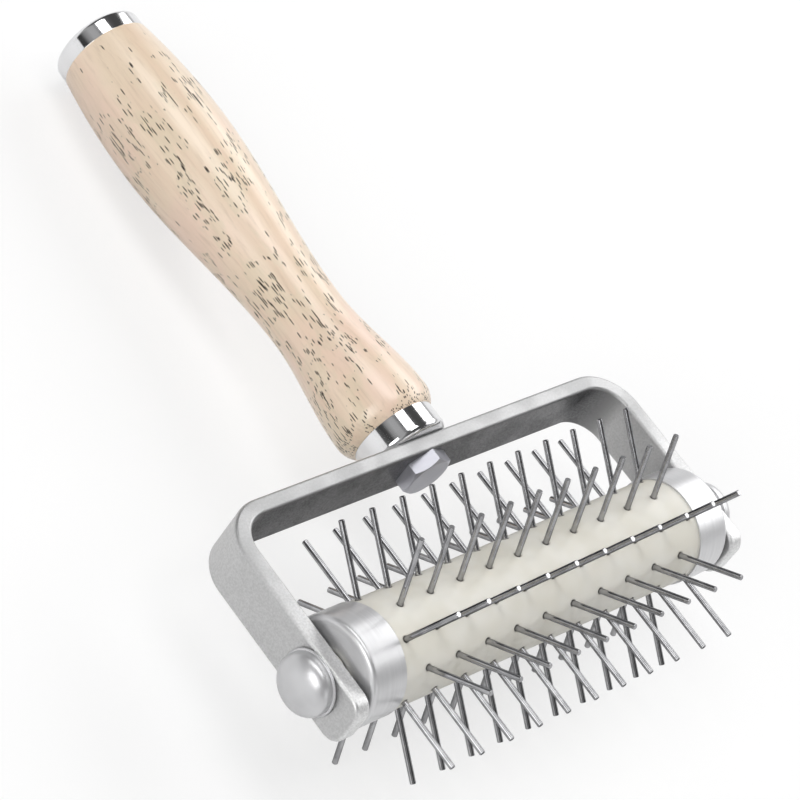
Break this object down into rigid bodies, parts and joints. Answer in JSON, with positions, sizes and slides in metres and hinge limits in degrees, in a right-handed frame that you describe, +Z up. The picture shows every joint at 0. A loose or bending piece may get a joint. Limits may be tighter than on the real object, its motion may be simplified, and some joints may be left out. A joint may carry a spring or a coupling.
{
  "type": "dough docker",
  "caption": "Dough docker: a pale roller set with rows of steel pins spins on an axle in a cast bow frame, which is bolted to a turned wooden grip with bright metal end pieces.",
  "frame": {"origin": "on the table, below the middle of the whole tool's bounding box", "axes": "+Y from the roller towards the grip's end, +Z up from the table, +X along the axle, to the right as seen from the grip's end looking down at the tool; the tool rests on one row of pins and the grip's end cap"},
  "size_m": [0.1502, 0.2064, 0.0616],
  "materials": {
    "cast_aluminium": "cast aluminium, finely ground, satin",
    "axle_steel": "plain drawn steel rod",
    "turned_aluminium": "turned aluminium, satin, with a bright rounded edge",
    "nylon": "ivory nylon, smooth, slightly satin",
    "pin_steel": "bright stainless rod, cut square",
    "cap_metal": "pressed metal, satin",
    "spring_steel": "tempered spring steel",
    "zinc_steel": "zinc-plated steel, bright",
    "chrome": "polished, mirror bright",
    "wood": "pale close-grained hardwood with short dark pores, satin varnish"
  },
  "bodies": {
    "frame": {"bow_frame": "cast_aluminium", "axle": "axle_steel", "handle_bolt": "zinc_steel", "ferrule": "chrome", "wooden_grip": "wood", "grip_washer": "zinc_steel", "grip_nut": "zinc_steel", "grip_end_cap": "chrome", "thrust_washer_left": "nylon", "lock_ring_left": "spring_steel", "axle_cap_left": "cap_metal", "thrust_washer_right": "nylon", "lock_ring_right": "spring_steel", "axle_cap_right": "cap_metal"},
    "roller": {"roller_core": "nylon", "roller_cup_left": "turned_aluminium", "roller_cup_right": "turned_aluminium", "pin_row_01": "pin_steel", "pin_row_02": "pin_steel", "pin_row_03": "pin_steel", "pin_row_04": "pin_steel", "pin_row_05": "pin_steel", "pin_row_06": "pin_steel", "pin_row_07": "pin_steel", "pin_row_08": "pin_steel", "pin_row_09": "pin_steel", "pin_row_10": "pin_steel"}
  },
  "joints": [
    {"name": "roller_spin", "type": "hinge", "parent": "frame", "child": "roller", "pos_m": [0, -0.07197, 0.03079], "axis": [1, 0, 0], "continuous": true}
  ]
}
